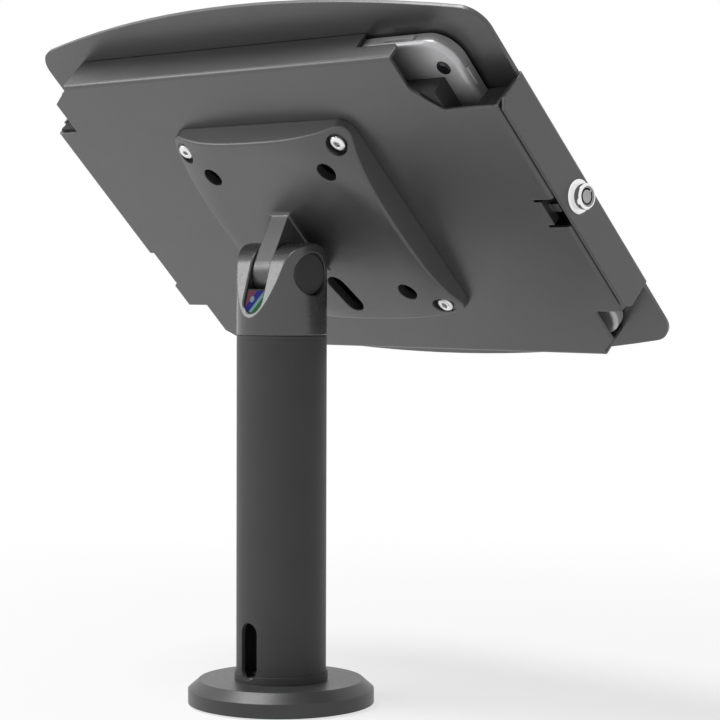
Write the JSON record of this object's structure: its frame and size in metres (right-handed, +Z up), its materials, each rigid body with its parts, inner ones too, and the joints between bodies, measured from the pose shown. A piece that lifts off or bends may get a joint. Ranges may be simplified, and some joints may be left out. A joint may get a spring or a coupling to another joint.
{
  "type": "tablet security kiosk stand",
  "caption": "Locking sheet-metal tablet enclosure on a tilting, swivelling pole stand with a round bench-mount foot.",
  "frame": {"origin": "centre of the foot's underside, on the pole's axis", "axes": "+Z up the pole, the screen faces -Y and up, +X to the user's right"},
  "size_m": [0.2983, 0.1578, 0.3196],
  "materials": {
    "powder_coat_steel": "satin powder coat",
    "powder_coat_alloy": "satin powder coat over aluminium",
    "zinc_steel": "bright zinc",
    "bright_chrome": "polished",
    "black_rubber": "matt",
    "black_foam": "matt foam",
    "black_plastic": "matt",
    "bearing_plastic": "smooth",
    "silver_aluminium": "bead blasted",
    "screen_glass": "polished",
    "lens_glass": "polished",
    "battery_pack": "matt",
    "bronze": "turned"
  },
  "bodies": {
    "stand": {"foot_pad": "black_rubber", "base_plate": "zinc_steel", "base_screws": "zinc_steel", "pole_foot_ring": "zinc_steel", "base_cover": "powder_coat_steel", "foot_collar": "powder_coat_steel", "pole_tube": "powder_coat_steel", "pole_top_insert": "powder_coat_steel", "swivel_bush": "bearing_plastic", "swivel_washer": "black_plastic"},
    "head": {"head_fork": "powder_coat_alloy", "slot_plug": "black_plastic", "swivel_stud": "zinc_steel", "disc_spring": "zinc_steel", "swivel_nut": "zinc_steel", "stop_pin": "zinc_steel", "pivot_bolt": "zinc_steel", "pivot_nut": "zinc_steel", "spring_washers": "zinc_steel", "friction_washers": "bearing_plastic", "pivot_caps": "powder_coat_alloy"},
    "tray": {"tilt_plate": "powder_coat_alloy", "pivot_bush": "bronze", "pan_screws": "bright_chrome", "tray_nuts": "zinc_steel", "rear_tray": "powder_coat_alloy", "hinge_pins": "zinc_steel", "tablet_shell": "silver_aluminium", "tablet_glass": "screen_glass", "tablet_battery": "battery_pack", "camera_lens": "lens_glass", "corner_pads": "black_foam", "side_foams": "black_foam"},
    "door": {"front_frame": "powder_coat_alloy", "lock_body": "bright_chrome", "lock_nut": "zinc_steel"},
    "lock": {"lock_plug": "bright_chrome", "lock_cam": "zinc_steel", "cam_screw": "zinc_steel"},
    "volume": {"volume_button": "silver_aluminium"},
    "power": {"power_button": "silver_aluminium"}
  },
  "joints": [
    {"name": "swivel", "type": "hinge", "parent": "stand", "child": "head", "pos_m": [0, 0, 0.1723], "axis": [0, 0, 1], "range_deg": [-170, 170]},
    {"name": "tilt", "type": "hinge", "parent": "head", "child": "tray", "pos_m": [0, 0, 0.2005], "axis": [1, 0, 0], "range_deg": [-45, 35]},
    {"name": "door_hinge", "type": "hinge", "parent": "tray", "child": "door", "pos_m": [0.13565, -0.02135, 0.23161], "axis": [0, 0.7071, 0.7071], "range_deg": [0, 110]},
    {"name": "lock_turn", "type": "hinge", "parent": "door", "child": "lock", "pos_m": [-0.1556, -0.02475, 0.23359], "axis": [-1, 0, 0], "range_deg": [0, 90]},
    {"name": "volume_press", "type": "slide", "parent": "tray", "child": "volume", "axis": [0, -0.7071, -0.7071], "range_m": [0, 0.0004], "stiffness_N_per_m": 400, "springref_m": -0.0004},
    {"name": "power_press", "type": "slide", "parent": "tray", "child": "power", "axis": [1, 0, 0], "range_m": [0, 0.0004], "stiffness_N_per_m": 400, "springref_m": -0.0004}
  ]
}
